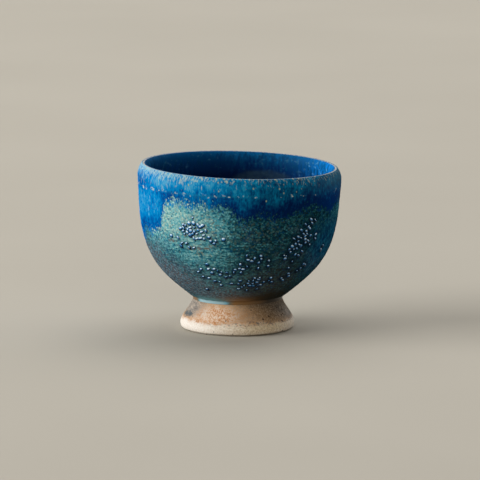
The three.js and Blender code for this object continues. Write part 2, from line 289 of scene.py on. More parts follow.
def throwing_tree():
    """A line swept round the axis, with rings and a wobble where it is worked."""
    tree, given, keys = start_tree("throwing", {
        "Meridian": "Geometry", "Steps Round": "Int", "Ring Depth": "Float", "Ring Spacing": "Float",
        "Ring Length": "Float", "Wobble Depth": "Float", "Wobble Size": "Float", "Finish": "Material"})
    line = add_node(tree, "GeometryNodeMeshToCurve", {"Mesh": given["Meridian"]})
    circle = add_node(tree, "GeometryNodeCurvePrimitiveCircle",
                      {"Resolution": given["Steps Round"], "Radius": SWEEP_RADIUS * MM})
    swept = add_node(tree, "GeometryNodeCurveToMesh", {"Curve": circle, "Profile Curve": line})
    turned = add_node(tree, "GeometryNodeFlipFaces", {"Mesh": swept})
    closed = add_node(tree, "GeometryNodeMergeByDistance", {"Geometry": turned, "Distance": SEAM * MM})

    place = add_node(tree, "GeometryNodeInputPosition")
    stretch = add_node(tree, "ShaderNodeCombineXYZ", {
        "X": given["Ring Length"], "Y": given["Ring Length"], "Z": given["Ring Spacing"]})
    level = add_node(tree, "ShaderNodeVectorMath", {0: place, 1: stretch}, operation="DIVIDE")
    rings = add_node(tree, "ShaderNodeTexNoise", {"Vector": level, "Scale": 1.0, "Detail": 3.0})
    wide = add_node(tree, "ShaderNodeMath", {0: 1.0, 1: given["Wobble Size"]}, operation="DIVIDE")
    wobble = add_node(tree, "ShaderNodeTexNoise", {"Vector": place, "Scale": wide, "Detail": 1.0})
    relief = 0.0
    for noise, depth in ((rings, given["Ring Depth"]), (wobble, given["Wobble Depth"])):
        height = add_node(tree, "ShaderNodeMath", {0: noise, 1: 0.5}, operation="SUBTRACT")
        relief = add_node(tree, "ShaderNodeMath", {0: height, 1: depth, 2: relief}, operation="MULTIPLY_ADD")
    worked = add_node(tree, "GeometryNodeInputNamedAttribute", {"Name": "worked"}, data_type="FLOAT")
    shown = add_node(tree, "ShaderNodeMath", {0: relief, 1: worked}, operation="MULTIPLY")
    normal = add_node(tree, "GeometryNodeInputNormal")
    outwards = add_node(tree, "ShaderNodeVectorMath", {0: normal, "Scale": shown}, operation="SCALE")
    formed = add_node(tree, "GeometryNodeSetPosition", {"Geometry": closed, "Offset": outwards})

    smooth = add_node(tree, "GeometryNodeSetShadeSmooth", {"Geometry": formed})
    real = add_node(tree, "GeometryNodeRealizeInstances", {"Geometry": smooth})
    finished = add_node(tree, "GeometryNodeSetMaterial", {"Geometry": real, "Material": given["Finish"]})
    add_node(tree, "NodeGroupOutput", {"Form": finished})
    return tree, keys


THROWING, THROWING_KEYS = throwing_tree()
print("throwing tree:", len(THROWING.nodes), "nodes")


# %% Using a tree
def apply_tree(piece, tree, keys, values):
    """Run a geometry tree on a piece, its inputs set by identifier, and keep the result as a plain mesh."""
    modifier = piece.modifiers.new(tree.name, "NODES")
    modifier.node_group = tree
    for label, value in values.items():
        modifier[keys[label]] = value
    graph = bpy.context.evaluated_depsgraph_get()
    mesh = bpy.data.meshes.new_from_object(piece.evaluated_get(graph), depsgraph=graph)
    piece.modifiers.clear()
    piece.data = mesh
    mesh.name = piece.name
    return piece


def throw(name, line, worked, ring, finish, steps=320, ring_depth=0.0, ring_spacing=1.5, ring_length=40.0,
          wobble_depth=0.0, wobble_size=20.0):
    """Turn a meridian, written anticlockwise, into a piece. ring says that it closes on itself."""
    mesh = bpy.data.meshes.new(name + "_line")
    points = np.column_stack((line[:, 0] - SWEEP_RADIUS, -line[:, 1], np.zeros(len(line)))) * MM
    edges = [(i, i + 1) for i in range(len(line) - 1)]
    if ring:
        edges.append((len(line) - 1, 0))
    mesh.from_pydata(points, edges, [])
    mesh.attributes.new("worked", "FLOAT", "POINT").data.foreach_set("value", worked)
    piece = bpy.data.objects.new(name, mesh)
    bpy.context.scene.collection.objects.link(piece)
    return apply_tree(piece, THROWING, THROWING_KEYS, {
        "Steps Round": steps, "Ring Depth": ring_depth * MM, "Ring Spacing": ring_spacing * MM,
        "Ring Length": ring_length * MM, "Wobble Depth": wobble_depth * MM,
        "Wobble Size": wobble_size * MM, "Finish": finish})


print("wheel ready")


# %% Reading and painting a piece
def read(piece):
    """The places of the piece's vertices in millimetres, as rows of x, y, z."""
    rows = np.empty(3 * len(piece.data.vertices))
    piece.data.vertices.foreach_get("co", rows)
    return rows.reshape(-1, 3) / MM


def write(piece, points):
    """Move the piece's vertices to rows of x, y, z."""
    piece.data.vertices.foreach_set("co", (points * MM).ravel())
    piece.data.update()


def turn_of(points):
    """Degrees round the cup from the front, growing to the right."""
    return np.degrees(np.arctan2(points[:, 0], -points[:, 1]))


def spots(points, *places, most=None):
    """Soft spots on a wall, added up, and kept between 0 and the most where that is given.

    Each has a weight, its middle in degrees and height, and how far it fades round and up.
    """
    total = np.zeros(len(points))
    for weight, turn, height, wide, tall in places:
        away = (turn_of(points) - turn + 180) % 360 - 180
        total += weight * np.exp(-(away / wide) ** 2 - ((points[:, 2] - height) / tall) ** 2)
    return total if most is None else np.clip(total, 0, most)


def paint(piece, **masks):
    """Keep each mask as a point attribute that the material reads by name."""
    for name, values in masks.items():
        piece.data.attributes.new(name, "FLOAT", "POINT").data.foreach_set("value", values)


print("brushes ready")

# %% [markdown]
# ## The potter's hand
# No thrown cup is true. The mouth of this one stands a little to the right of its foot, and the rim
# dips to the right. A lattice could lean the cup, but the same two moves as in the construction, made on
# the vertices of every finished piece, keep all of them exactly together.

# %% Lean and tilt
LEAN = 0.85
RIM_TILT = np.tan(np.radians(1.8))
TILT_FADE = 3


def lean_points(points):
    """Lean rows of x, y, z as the whole cup leans."""
    rise = points[:, 2] / CUP_HEIGHT
    tipped = RIM_TILT * points[:, 0] * rise ** TILT_FADE
    points[:, 0] += LEAN * (rise - 1)
    points[:, 2] -= tipped


def hand_over(piece, nodes):
    """Hand a piece to the frame, in place of the nodes that it stands for."""
    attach(piece, "root")
    if nodes:
        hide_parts(*nodes)
    triangles = sum(len(face.vertices) - 2 for face in piece.data.polygons)
    print(piece.name, "has", triangles, "triangles")


def settle(piece, nodes):
    """Lean a finished piece with the cup, and hand it over."""
    points = read(piece)
    lean_points(points)
    write(piece, points)
    hand_over(piece, nodes)


print("the rim dips", round(RIM_TILT * MOUTH[0], 2), "mm on each side")

# %% [markdown]
# ## Stoneware
# The clay is a pale buff stoneware, fired until it is hard but still matt and sandy. Bare clay shows on
# the crest of the lip, under the bowl and at the standing edge. Its sand could be modelled grain by grain,
# but it is only felt as roughness, so fine noise gives both its colour and its bump. The bowl itself is
# thrown in few steps, because glaze hides most of it.

# %% Bowl
def bare_stoneware():
    """Fired buff clay: matt, pale and finely sandy."""
    material, tree, shader, place, _ = start_material("bare_stoneware", roughness=0.85)
    # real sand is about 0.2 mm wide, and is drawn coarser so that it shows
    sandy = add_node(tree, "ShaderNodeMapping", {"Vector": place, "Scale": per_mm(0.5)})
    sand = add_node(tree, "ShaderNodeTexNoise", {"Vector": sandy, "Scale": 1.0, "Detail": 4.0})
    tone = add_node(tree, "ShaderNodeValToRGB", {"Fac": sand},
                    stops=[(0.35, "#8e939a"), (0.5, "#b4b4b4"), (0.65, "#d0d1d1")])
    tree.links.new(tone, shader.inputs["Base Color"])
    bump = add_node(tree, "ShaderNodeBump", {"Height": sand, "Strength": 0.5, "Distance": 0.1 * MM})
    tree.links.new(bump, shader.inputs["Normal"])
    return material


BARE_STONEWARE = bare_stoneware()
clay = np.vstack(([(0, NECK[1])], outside_clay(40, 8, CREST), inside_clay(40, 8, CREST)[1:]))
bowl = throw("thrown_bowl", clay, np.ones(len(clay)), False, BARE_STONEWARE, steps=160)
settle(bowl, ["bowl"])

# %% [markdown]
# ## Luting slip
# Slip is clay thinned with water. A potter brushes it on the foot as glue, and a little squeezes out into
# the hollow under the cup, where it dries as a soft fillet. It could be a plain disc, but a short closed
# line on the same wheel gives the fillet as well.

# %% Luting slip
SLIP_TOP = 11.52
SLIP_BOTTOM = 11.02
HOLLOW_TOP = 9.5
SLIP_FILLET = 1.2
SLIP_INSET = 0.08
slip_edge = NECK[0] - SLIP_INSET
fillet = arc((HOLLOW_TOP - SLIP_FILLET, SLIP_BOTTOM), (SLIP_FILLET, SLIP_TOP - SLIP_BOTTOM), 90, 0, 6)
slip_line = np.vstack(([(slip_edge, SLIP_BOTTOM), (slip_edge, SLIP_TOP)], fillet))
luting_slip = throw("slip_joint", slip_line, np.zeros(len(slip_line)), True, BARE_STONEWARE, steps=160)
settle(luting_slip, ["luting_slip"])

# %% [markdown]
# ## Foot
# The foot flares from the neck to a soft bulge just above the ground, and its lower edge is trimmed, so
# that a dark line shows under it. A thin wash of slip and glaze over its upper part was flashed orange by
# the flame on one side and smoked brown and grey on the other. Below it the clay is bare and creamy. The
# wash could be a skin of its own, but its edge would then be a clean line. Here wash and clay share one
# surface, so that the edge can be grainy.

# %% Foot shape
FOOT_TOP = 10.94
FOOT_BULGE = np.array((20.1, 2.0))
FOOT_SLOPE = slope(-74)
FLARE_PULL = 3.4
BULGE_PULL = 2.2
STAND_RADIUS = 18.3
STAND_WIDTH = 4.6
HOLLOW_EDGE = 1.0
EDGE_FULLNESS = 0.7  # 1 is a true round, and less is a tighter one
EDGE_LIFT = np.array((0.2, 0.35))  # the trimmed bevel: how far out it goes, and how far off the ground
PLAIN_ENDS = 4  # points at each end of the outside line that take no finger marks

flare_top = np.array((NECK[0], FOOT_TOP))
flare = bezier(flare_top, flare_top + FLARE_PULL * FOOT_SLOPE, FOOT_BULGE + (0, BULGE_PULL), FOOT_BULGE, 64)
rounding = arc((0, 0), (1, 1), -90, 0, 18)
fuller = np.sign(rounding) * np.abs(rounding) ** EDGE_FULLNESS
stand_edge = np.array((STAND_RADIUS, 0))
lifted = stand_edge + EDGE_LIFT
edge = np.vstack((stand_edge, (lifted[0], FOOT_BULGE[1]) + fuller * (FOOT_BULGE - lifted)))
stand_inner = STAND_RADIUS - STAND_WIDTH
hollow_edge = arc((stand_inner, HOLLOW_EDGE), (HOLLOW_EDGE, HOLLOW_EDGE), 180, 270, 6)
cone = np.linspace((HOLLOW_TOP, FOOT_TOP), hollow_edge[0], 8)
foot_outside = np.vstack((edge, flare[-2::-1]))
foot_line = np.vstack((foot_outside, cone, hollow_edge[1:]))
foot_worked = np.zeros(len(foot_line))
foot_worked[PLAIN_ENDS:len(foot_outside) - PLAIN_ENDS] = 1
print("the foot's line has", len(foot_line), "points")


# %% Foot finish
def flashed_stoneware():
    """Buff stoneware under a thin wash that the flame turned orange, brown and grey: matt and grainy."""
    material, tree, shader, place, masks = start_material(
        "flashed_stoneware", ("wash_mm", "flash", "ash", "smoke", "spot", "warm", "skirt"), roughness=0.8)
    noise = {}
    for name, size, detail in (
            ("sand", (0.55,), 4.0), ("cloud", (3.5, 2.0), 3.0), ("grit", (0.8, 0.6), 2.0)):
        sized = add_node(tree, "ShaderNodeMapping", {"Vector": place, "Scale": per_mm(*size)})
        noise[name] = add_node(tree, "ShaderNodeTexNoise", {"Vector": sized, "Scale": 1.0, "Detail": detail})
    sand, cloud, grit = noise.values()
    flush = add_node(tree, "ShaderNodeMix", {"Factor": 0.36, "A": sand, "B": cloud})

    # each finish: the pattern that grains it, the ends of its range and three colours
    tones = {}
    for name, pattern, low, high, codes in (
            ("clay", sand, 0.34, 0.66, ("#eae1d7", "#f5eee6", "#fbf9f5")),
            ("warm", sand, 0.36, 0.64, ("#d2b98f", "#eed4aa", "#fae9cc")),
            ("wash", sand, 0.34, 0.66, ("#9c774b", "#c19662", "#dcbd97")),
            ("flash", flush, 0.4, 0.59, ("#eedccb", "#e4bd9b", "#c68753")),
            ("smoke", sand, 0.36, 0.64, ("#4b3f31", "#635443", "#84745f")),
            ("ash", flush, 0.38, 0.62, ("#75706d", "#938d86", "#c2b3a4"))):
        tones[name] = add_node(tree, "ShaderNodeValToRGB", {"Fac": pattern},
                               stops=zip((low, 0.5, high), codes))

    # the wash's ragged edge, where it thins and blushes, then dark grains, blotches and iron flecks
    ragged = masks["wash_mm"]
    for pattern, weight in ((cloud, 2.4), (sand, 3.2)):
        ragged = add_node(tree, "ShaderNodeMath", {0: pattern, 1: weight, 2: ragged},
                          operation="MULTIPLY_ADD")
    flecks = add_node(tree, "ShaderNodeMapping", {"Vector": place, "Scale": per_mm(2.2)})
    fleck = add_node(tree, "ShaderNodeTexVoronoi", {"Vector": flecks, "Scale": 1.0}).node
    share = {}
    for name, value, low, high, most in (
            ("covered", ragged, 2.2, 3.3, 1.0), ("thinner", ragged, 3.9, 2.9, 0.6),
            ("dark", grit, 0.52, 0.62, 1.0), ("fleck", fleck.outputs["Distance"], 0.21, 0.12, 1.0)):
        share[name] = add_node(tree, "ShaderNodeMapRange",
                               {"Value": value, "From Min": low, "From Max": high, "To Max": most})
    clear = add_node(tree, "ShaderNodeMath", {0: 1.0, 1: masks["smoke"]}, operation="SUBTRACT")
    pick = add_node(tree, "ShaderNodeSeparateColor", {"Color": fleck.outputs["Color"]})
    some = add_node(tree, "ShaderNodeMath", {0: pick, 1: 0.62}, operation="GREATER_THAN")
    blush, grains, iron = (add_node(tree, "ShaderNodeMath", {0: one, 1: other}, operation="MULTIPLY")
                           for one, other in ((share["thinner"], clear), (share["dark"], masks["skirt"]),
                                              (share["fleck"], some)))
    blotch = add_node(tree, "ShaderNodeMath", {0: share["dark"], 1: 0.5, 2: masks["spot"]},
                      operation="MULTIPLY_ADD")
    blotchy = add_node(tree, "ShaderNodeMapRange",
                       {"Value": blotch, "From Min": 0.55, "From Max": 1.0, "To Max": 0.9})

    wash = tones["wash"]
    for factor, tone in ((masks["flash"], tones["flash"]), (masks["smoke"], tones["smoke"]),
                         (masks["ash"], tones["ash"]), (blush, "#d29a6c")):
        wash = add_node(tree, "ShaderNodeMix", {"Factor": factor, "A": wash, "B": tone}, data_type="RGBA")
    body = tones["clay"]
    for factor, tone in ((masks["warm"], tones["warm"]), (share["covered"], wash), (grains, "#6b6663"),
                         (blotchy, "#3f5560"), (iron, "#4b3322")):
        body = add_node(tree, "ShaderNodeMix", {"Factor": factor, "A": body, "B": tone}, data_type="RGBA")
    tree.links.new(body, shader.inputs["Base Color"])
    bump = add_node(tree, "ShaderNodeBump", {"Height": sand, "Strength": 0.6, "Distance": 0.12 * MM})
    tree.links.new(bump, shader.inputs["Normal"])
    return material


FLASHED_STONEWARE = flashed_stoneware()
print("flashed stoneware:", len(FLASHED_STONEWARE.node_tree.nodes), "nodes")

# %% Foot, thrown and painted
WASH_HEIGHT = 4.1
WASH_WAVES = {1: 0.05, 3: 0.15, 5: 0.15}  # its edge wanders: waves round the foot, and how high
foot = throw("flared_foot", foot_line, foot_worked, True, FLASHED_STONEWARE, steps=320,
             ring_depth=0.16, ring_spacing=1.1, ring_length=30, wobble_depth=0.25, wobble_size=9)
at = read(foot)
turn = np.radians(turn_of(at))
wash_edge = WASH_HEIGHT + sum(rise * np.sin(count * turn) for count, rise in WASH_WAVES.items())
over_edge = at[:, 2] - wash_edge
paint(
    foot,
    wash_mm=over_edge,
    flash=spots(at, (1.3, -30, 6.6, 38, 4.0), (0.8, 150, 7, 40, 3), most=1),
    ash=spots(at, (1.3, -73, 8.4, 25, 3.2), (1.0, 80, 5.5, 22, 3), (1.0, 215, 8, 35, 3), most=1),
    smoke=spots(at, (1.0, 64, 9, 46, 5), (0.4, 26, 11, 25, 1.6), (0.6, -56, 10.4, 16, 1.6), most=1),
    spot=spots(at, (1.0, -78, 5.7, 10, 1.2), (0.9, -64, 6.0, 7, 1.0), most=1),
    warm=spots(at, (0.95, 28, 3, 45, 4), most=1),
    skirt=np.exp(-(over_edge / 0.9) ** 2) * np.clip(0.1 + spots(at, (1.0, 40, 5, 50, 9)), 0, 0.9),
)
settle(foot, ["foot_ring", "foot_wash"])

# %% [markdown]
# ## Inside glaze
# The bowl is lined with the same blue glaze. It is thin and bright under the lip, and at the right it is
# brighter still: thin glaze with a painted sheen. It ran down into the bowl, where it lies thick and deep
# blue, with a dull grey reflection painted at the back. A ramp over the depth gives the change from bright
# to deep, but it is the same all round, so masks painted on the vertices add the bright side and the
# painted reflection.

# %% Inside finish
def cobalt_lining():
    """Thick copper-blue glaze: deep blue, brighter and streaked under the lip, with a few pale smears."""
    material, tree, shader, place, masks = start_material(
        "cobalt_lining", ("depth_mm", "thin", "stain"), roughness=0.5, ior=1.5, specular_ior_level=0.02)
    noise = {}
    for name, size, detail in (
            ("streak", (1.2, 4.5), 3.0), ("mottle", (0.8, 1.6), 2.0), ("smear", (1.8, 1.3), 2.0)):
        sized = add_node(tree, "ShaderNodeMapping", {"Vector": place, "Scale": per_mm(*size)})
        noise[name] = add_node(tree, "ShaderNodeTexNoise", {"Vector": sized, "Scale": 1.0, "Detail": detail})
    smear = noise["smear"]
    mixed = add_node(tree, "ShaderNodeMix", {"Factor": 0.45, "A": noise["streak"], "B": noise["mottle"]})
    uneven = add_node(tree, "ShaderNodeMath", {0: mixed, 1: 16.0, 2: masks["depth_mm"]},
                      operation="MULTIPLY_ADD")
    share = {}
    for name, value, low, high, least, most in (
            ("shade", uneven, 8.0, 48.0, 0.0, 1.0), ("pale", smear, 0.58, 0.72, 0.0, 1.0),
            ("high", uneven, 15.5, 9.5, 0.0, 0.22), ("lively", mixed, 0.4, 0.56, 0.1, 1.0),
            ("speckled", smear, 0.3, 0.6, 0.5, 1.0)):
        share[name] = add_node(tree, "ShaderNodeMapRange", {
            "Value": value, "From Min": low, "From Max": high, "To Min": least, "To Max": most})
    for name, one, other in (("bright", "lively", masks["thin"]), ("reflecting", "speckled", masks["stain"]),
                             ("smeared", "pale", share["high"])):
        share[name] = add_node(tree, "ShaderNodeMath", {0: share[one], 1: other}, operation="MULTIPLY")
    glint = add_node(tree, "ShaderNodeMath", {0: share["pale"], 1: share["bright"]}, operation="MULTIPLY")
    lining = add_node(tree, "ShaderNodeValToRGB", {"Fac": share["shade"]}, stops=[
        (0.0, "#065a92"), (0.05, "#044673"), (0.1, "#043764"), (0.15, "#032757"), (0.22, "#021740"),
        (0.5, "#051329"), (0.85, "#0a2440"), (1.0, "#0e3450")])
    # the bright side is thin glaze with painted sheen; over it lie a painted grey reflection, pale smears
    # and glints
    for factor, tone in ((share["bright"], "#0a83e0"), (share["reflecting"], "#2a4357"),
                         (share["smeared"], "#4b8e98"), (glint, "#74bce6")):
        lining = add_node(tree, "ShaderNodeMix", {"Factor": factor, "A": lining, "B": tone},
                          data_type="RGBA")
    tree.links.new(lining, shader.inputs["Base Color"])
    return material


COBALT_LINING = cobalt_lining()
print("cobalt lining:", len(COBALT_LINING.node_tree.nodes), "nodes")

# %% Inside glaze
INSIDE_COAT = 0.48
CREST_COAT = 0.2  # a coat thins to this where it ends near the crest of the lip
UNDER_COAT = 0.05  # the hidden back of a coat is this far off the clay
INNER_LIP_STEPS = 14
REFLECTION_EDGE = 2.6  # how sharply the oval of painted reflection ends
REFLECTION_MOST = 0.78
REFLECTION_RISE = (42, 48)  # heights between which it comes in
inner = inside_clay(120, INNER_LIP_STEPS, CREST + LIP_BREAK)
thickness = np.full(len(inner), INSIDE_COAT)
thickness[:INNER_LIP_STEPS + 1] = np.linspace(CREST_COAT, INSIDE_COAT, INNER_LIP_STEPS + 1)
over = offset(inner, thickness)
over[-1] = (0, FLOOR_HEIGHT + INSIDE_COAT)
under = offset(inside_clay(24, 4, CREST + LIP_BREAK), UNDER_COAT)
under[-1] = (0, FLOOR_HEIGHT + UNDER_COAT)
lining = np.vstack((under[::-1], over))
lining_worked = np.zeros(len(lining))
lining_worked[len(under) + INNER_LIP_STEPS:] = 1
inside_glaze = throw("blue_lining", lining, lining_worked, False, COBALT_LINING, steps=288,
                     ring_depth=0.12, ring_spacing=1.6, wobble_depth=0.3, wobble_size=14)
at = read(inside_glaze)
# a dull grey reflection painted on the far wall: an oval that ends sharply, coming in between two heights
stain = np.clip(REFLECTION_EDGE + REFLECTION_EDGE * np.log(spots(at, (1.0, 163, 46, 25, 6))), 0, REFLECTION_MOST)
paint(
    inside_glaze,
    depth_mm=CUP_HEIGHT - at[:, 2],
    # thin glaze at the right, brightened further as a painted sheen
    thin=spots(at, (1.3, 96, 54, 31, 9), (0.2, -140, 55, 30, 6), most=1),
    stain=stain * np.interp(at[:, 2], REFLECTION_RISE, (0, 1)),
)
settle(inside_glaze, ["inside_glaze"])

# %% [markdown]
# ## Outside glaze
# Two coats lie on the outside. The first is thin and dry: a sandy, speckled teal that goes dark and smoky
# towards the foot. The second, round the lip, is thick and blue, and ran down in a curtain whose lower edge
# is darkest, where the glaze pooled. They could be two skins, one over the other, but the kiln fused them
# and their edge is ragged, so they are one skin with masks painted on it: how far a point is above the
# curtain's edge, and how sandy, smoky or iron-dark the first coat is there.

# %% Curtain edge
# The lower edge of the blue coat: degrees from the front, and height
CURTAIN = np.array([
    (-106, 37), (-94, 31.5), (-84, 31.5), (-78, 33.2), (-75, 34.8), (-72, 36.2), (-65, 36.6), (-56, 36.8),
    (-52.5, 38), (-50, 42), (-48, 45.6), (-45.5, 47.6), (-41, 48.6), (-36, 48.4), (-28, 48.0), (-21, 48.7),
    (-14, 48.0), (-7, 47.1), (-3, 46), (0, 43.2), (6.5, 43.4), (12.5, 45.2), (17, 44.6), (21, 43.7),
    (28.5, 44.5), (35, 46.1), (42, 46.9), (48.5, 46.8), (56, 45.6), (62, 44), (67, 44.6), (73, 46.6),
    (84, 47.2), (92, 44), (104, 38.5), (120, 42), (138, 45.5), (152, 46), (166, 40), (178, 39), (192, 45),
    (206, 47.5), (224, 43), (240, 44.5),
])


def curtain_at(turn):
    """Height of the curtain's edge, for degrees round the cup."""
    return np.interp(turn, CURTAIN[:, 0], CURTAIN[:, 1], period=360)


print("curtain runs down to", CURTAIN[:, 1].min(), "mm above the standing face")

# %% Patterns in the glaze
# Noise about zero, by the width and height of its features
GLAZE_NOISE = {"lines": (3.5, 0.5), "streak": (1.5, 8), "hair": (0.6, 1.3), "cloud": (4.5, 3.5),
               "grit": (0.8, 0.7), "smear": (0.7, 2.4), "drops": (1.7, 1.3)}
GRAIN = (0.65, 0.55)  # width and height of a grain of sand
SPECK = (1.5, 2.0)  # and the room that each pale speck has
GLAZE_MASKS = ("run_mm", "lip_mm", "sand", "grain", "ruled", "ochre", "smoke", "iron", "toast", "rust",
               "pool", "veil", "halo", "blue", "azure", "dull", "spark", "ring", "groove")


def glaze_patterns(tree, place):
    """What both coats are drawn with: noise, and grains with an edge and a tint each."""
    noise = {}
    for name, size in GLAZE_NOISE.items():
        sized = add_node(tree, "ShaderNodeMapping", {"Vector": place, "Scale": per_mm(*size)})
        raw = add_node(tree, "ShaderNodeTexNoise", {"Vector": sized, "Scale": 1.0, "Detail": 3.0})
        noise[name] = add_node(tree, "ShaderNodeMath", {0: raw, 1: 0.5}, operation="SUBTRACT")
    sized = add_node(tree, "ShaderNodeMapping", {"Vector": place, "Scale": per_mm(*GRAIN)})
    cell = add_node(tree, "ShaderNodeTexVoronoi", {"Vector": sized, "Scale": 1.0}).node
    tint = add_node(tree, "ShaderNodeSeparateColor", {"Color": cell.outputs["Color"]}).node
    grain = {name: tint.outputs[name] for name in ("Red", "Green", "Blue")}
    grain["Edge"] = cell.outputs["Distance"]
    return noise, grain


print(len(GLAZE_MASKS), "masks and", len(GLAZE_NOISE), "kinds of noise for the outside glaze")


# %% The dry first coat
def dry_coat(tree, masks, noise, grain):
    """Grains of sand in teal, under flecks, smoke, iron, toast, rust and the dark ring of each bead."""
    # patterns added up by weight, from a mask or from nothing
    total = {}
    for name, start, parts in (
            ("grainy", 0.0, ((grain["Edge"], -0.3), (grain["Red"], 0.44), (noise["grit"], 0.5))),
            ("pink", 0.0, ((grain["Green"], masks["sand"]),)),
            ("turquoise", 0.0, ((grain["Blue"], masks["sand"]),)),
            ("brown", 0.0, ((masks["smoke"], noise["hair"]),)),
            ("smoky", masks["smoke"], ((noise["cloud"], 1.2), (noise["hair"], 0.6))),
            ("rusty", masks["rust"], ((noise["hair"], 1.8),)),
            ("veiled", masks["veil"], ((noise["streak"], 1.0),))):
        total[name] = start
        for pattern, weight in parts:
            total[name] = add_node(tree, "ShaderNodeMath", {0: pattern, 1: weight, 2: total[name]},
                                   operation="MULTIPLY_ADD")
    teal = masks["sand"]
    for pattern, weight in ((total["grainy"], masks["grain"]), (noise["lines"], masks["ruled"])):
        teal = add_node(tree, "ShaderNodeMath", {0: pattern, 1: weight, 2: teal}, operation="MULTIPLY_ADD")

    # the share of each layer: what it follows, where that starts and ends, and the most it covers
    share = {}
    for name, value, low, high, most in (
            ("teal", teal, 0.07, 1.07, 1.0), ("turquoise", total["turquoise"], 0.3, 0.6, 0.65),
            ("pit", grain["Red"], 0.16, 0.06, 0.5), ("line", noise["lines"], -0.05, -0.16, 1.0),
            ("ruled", masks["ruled"], 0.3, 1.6, 0.75), ("pink", total["pink"], 0.5, 0.68, 0.26),
            ("ochre", grain["Green"], 0.72, 0.9, 0.6), ("smoke", total["smoky"], 0.1, 0.9, 0.75),
            ("smoke_tone", noise["grit"], -0.25, 0.25, 1.0), ("brown", total["brown"], 0.02, 0.1, 0.75),
            ("rust", total["rusty"], 0.45, 1.15, 1.0), ("veil", total["veiled"], 0.1, 1.0, 0.85),
            ("veil_tone", noise["smear"], -0.2, 0.2, 1.0)):
        share[name] = add_node(tree, "ShaderNodeMapRange",
                               {"Value": value, "From Min": low, "From Max": high, "To Max": most})
    for name, place in (("line", share["ruled"]), ("ochre", masks["ochre"])):
        share[name] = add_node(tree, "ShaderNodeMath", {0: share[name], 1: place}, operation="MULTIPLY")

    dry = add_node(tree, "ShaderNodeValToRGB", {"Fac": share["teal"]}, stops=[
        (0.0, "#07242f"), (0.2, "#12404d"), (0.4, "#285f69"), (0.6, "#438896"), (0.8, "#6caeb7"),
        (1.0, "#a6d2cd")])
    smoke = add_node(tree, "ShaderNodeValToRGB", {"Fac": share["smoke_tone"]},
                     stops=[(0.25, "#445360"), (0.5, "#63788b"), (0.75, "#7fa2b6")])
    veil = add_node(tree, "ShaderNodeValToRGB", {"Fac": share["veil_tone"]},
                    stops=[(0.2, "#062c58"), (0.5, "#0b4a78"), (0.8, "#207092")])
    # the last layer darkens a ring round each bead: glaze pooled at its foot, with painted shade
    for factor, tone in (
            (share["turquoise"], "#48a6ba"), (share["pit"], "#0b5280"), (share["line"], "#0f566e"),
            (share["pink"], "#c8c1a4"), (share["ochre"], "#526359"), (share["smoke"], smoke),
            (share["brown"], "#65504a"), (masks["iron"], "#2c2920"), (masks["toast"], "#9a6f42"),
            (masks["pool"], "#6fb0bd"), (share["rust"], "#7d5c46"), (share["veil"], veil),
            (masks["halo"], "#04162c")):
        dry = add_node(tree, "ShaderNodeMix", {"Factor": factor, "A": dry, "B": tone}, data_type="RGBA")
    return dry


print("first coat written down")


# %% The blue second coat
def blue_coat(tree, place, masks, noise):
    """Teal or azure by its place, under painted glints, pale mottling at the lip, specks and a ring of dots.
    """
    total = {}
    for name, start, parts in (
            ("tone", masks["blue"], ((noise["streak"], 0.8), (noise["cloud"], 0.8), (noise["drops"], 0.75),
                                     (noise["hair"], 1.1))),
            ("mottled", masks["lip_mm"], ((noise["smear"], 18.0), (noise["hair"], 10.0))),
            ("glinting", noise["smear"], ((masks["spark"], 0.28),)),
            ("dotted", noise["drops"], ((masks["ring"], 0.3),))):
        total[name] = start
        for pattern, weight in parts:
            total[name] = add_node(tree, "ShaderNodeMath", {0: pattern, 1: weight, 2: total[name]},
                                   operation="MULTIPLY_ADD")
    sized = add_node(tree, "ShaderNodeMapping", {"Vector": place, "Scale": per_mm(*SPECK)})
    speck = add_node(tree, "ShaderNodeTexVoronoi", {"Vector": sized, "Scale": 1.0}).node
    chance = add_node(tree, "ShaderNodeSeparateColor", {"Color": speck.outputs["Color"]})
    share = {}
    for name, value, low, high, most in (
            ("pale", total["mottled"], 3.8, 0.0, 0.75), ("spark", total["glinting"], 0.34, 0.46, 0.8),
            ("dot", total["dotted"], 0.3, 0.4, 0.85), ("cool", masks["azure"], 0.4, 1.0, 1.0),
            ("near", speck.outputs["Distance"], 0.24, 0.1, 1.0), ("high", masks["lip_mm"], 13.0, 5.0, 0.3)):
        share[name] = add_node(tree, "ShaderNodeMapRange",
                               {"Value": value, "From Min": low, "From Max": high, "To Max": most})
    drawn = add_node(tree, "ShaderNodeMath", {0: chance, 1: share["high"]}, operation="LESS_THAN")
    specked = add_node(tree, "ShaderNodeMath", {0: share["near"], 1: drawn}, operation="MULTIPLY")

    blue = add_node(tree, "ShaderNodeValToRGB", {"Fac": total["tone"]}, stops=[
        (0.0, "#031f4c"), (0.2, "#043160"), (0.4, "#05476f"), (0.55, "#065880"), (0.7, "#086b95"),
        (0.85, "#067ca9"), (1.0, "#138db4")])
    azure = add_node(tree, "ShaderNodeValToRGB", {"Fac": total["tone"]}, stops=[
        (0.0, "#023f8f"), (0.3, "#035caa"), (0.5, "#0374bf"), (0.7, "#0487cf"), (0.85, "#128dcf"),
        (1.0, "#47a2d5")])
    pale = add_node(tree, "ShaderNodeMix", {"Factor": share["cool"], "A": "#bcc8b2", "B": "#a8cdd4"},
                    data_type="RGBA")
    # over the blue: painted glints, and at the end a greyer lip with painted sheen at the right
    for factor, tone in (
            (masks["azure"], azure), (share["spark"], "#8ac6ea"), (masks["groove"], "#2a97b0"),
            (share["pale"], pale), (specked, "#a3ad90"), (share["dot"], "#d4d8ca"),
            (masks["dull"], "#40626c")):
        blue = add_node(tree, "ShaderNodeMix", {"Factor": factor, "A": blue, "B": tone}, data_type="RGBA")
    return blue


print("second coat written down")


